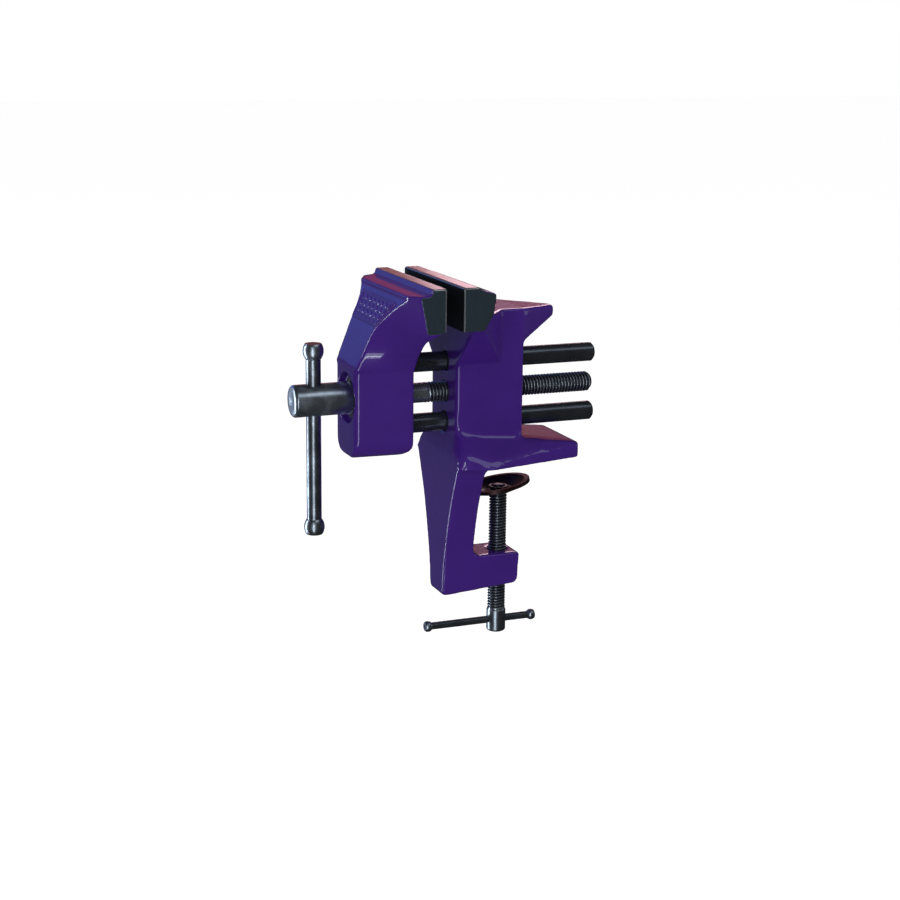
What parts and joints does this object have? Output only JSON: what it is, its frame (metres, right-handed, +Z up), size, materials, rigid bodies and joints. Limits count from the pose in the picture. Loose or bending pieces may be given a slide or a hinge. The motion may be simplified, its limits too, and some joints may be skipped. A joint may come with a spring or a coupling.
{
  "type": "bench vise",
  "caption": "Small screw vise with wide jaws on two guide rods, a pointed anvil, and a clamp that grips a bench edge.",
  "frame": {"origin": "on the bench seat, the underside of the base plate, on the axis of the clamp screw", "axes": "+X to the rear, along the guide rods' free ends; -X to the handle; +Y to the far side seen with the handle on the left; +Z up from the bench seat to the jaws"},
  "size_m": [0.1492, 0.075, 0.1728],
  "materials": {
    "casting": "deep blue-violet gloss enamel over cast iron, with the jaws ground bare",
    "rod_steel": "dark ground round bar",
    "screw_steel": "turned bright steel, dark in the thread",
    "handle_steel": "bright plated bar",
    "clamp_steel": "dark oiled steel with a bright turned head",
    "pad_steel": "black pressed steel",
    "washer_steel": "plain",
    "nut_steel": "turned",
    "fastener_steel": "plain"
  },
  "bodies": {
    "frame": {"fixed_body": "casting", "main_nut": "nut_steel", "nut_grub_screw": "fastener_steel"},
    "jaw": {"moving_jaw": "casting", "upper_guide_rod": "rod_steel", "lower_guide_rod": "rod_steel", "rod_pins": "fastener_steel", "thrust_washer": "washer_steel", "retaining_washer": "washer_steel"},
    "screw": {"main_screw": "screw_steel", "retaining_pin": "fastener_steel"},
    "handle": {"handle_bar": "handle_steel", "handle_knob_upper": "handle_steel", "handle_knob_lower": "handle_steel"},
    "clamp_slider": {"pad_washer": "washer_steel"},
    "clamp": {"clamp_screw": "clamp_steel"},
    "clamp_handle": {"clamp_handle_bar": "clamp_steel", "clamp_handle_knob_front": "clamp_steel", "clamp_handle_knob_rear": "clamp_steel"},
    "pad": {"clamp_pad": "pad_steel"}
  },
  "joints": [
    {"name": "jaw_slide", "type": "slide", "parent": "frame", "child": "jaw", "axis": [-1, 0, 0], "range_m": [-0.0079, 0.042]},
    {"name": "screw_turn", "type": "hinge", "parent": "jaw", "child": "screw", "pos_m": [-0.0913, 0, 0.0318], "axis": [-1, 0, 0], "range_deg": [-1791.49, 9524.4]},
    {"name": "handle_slide", "type": "slide", "parent": "screw", "child": "handle", "axis": [0, 0, 1], "range_m": [-0.011, 0.0476]},
    {"name": "clamp_slide", "type": "slide", "parent": "frame", "child": "clamp_slider", "axis": [0, 0, 1], "range_m": [-0.0235, 0.0095]},
    {"name": "clamp_turn", "type": "hinge", "parent": "clamp_slider", "child": "clamp", "pos_m": [0, 0, -0.0764], "axis": [0, 0, 1], "range_deg": [-5995.74, 2423.8]},
    {"name": "clamp_handle_slide", "type": "slide", "parent": "clamp", "child": "clamp_handle", "axis": [1, 0, 0], "range_m": [-0.0117, 0.0286]},
    {"name": "pad_tilt", "type": "hinge", "parent": "clamp_slider", "child": "pad", "pos_m": [0, 0, -0.018], "axis": [0.3746, 0.9272, 0], "range_deg": [0, 22]}
  ],
  "couplings": [
    {"joint": "screw_turn", "follows": "jaw_slide", "rad_per_m": 3957.9},
    {"joint": "clamp_turn", "follows": "clamp_slide", "rad_per_m": 4453}
  ]
}
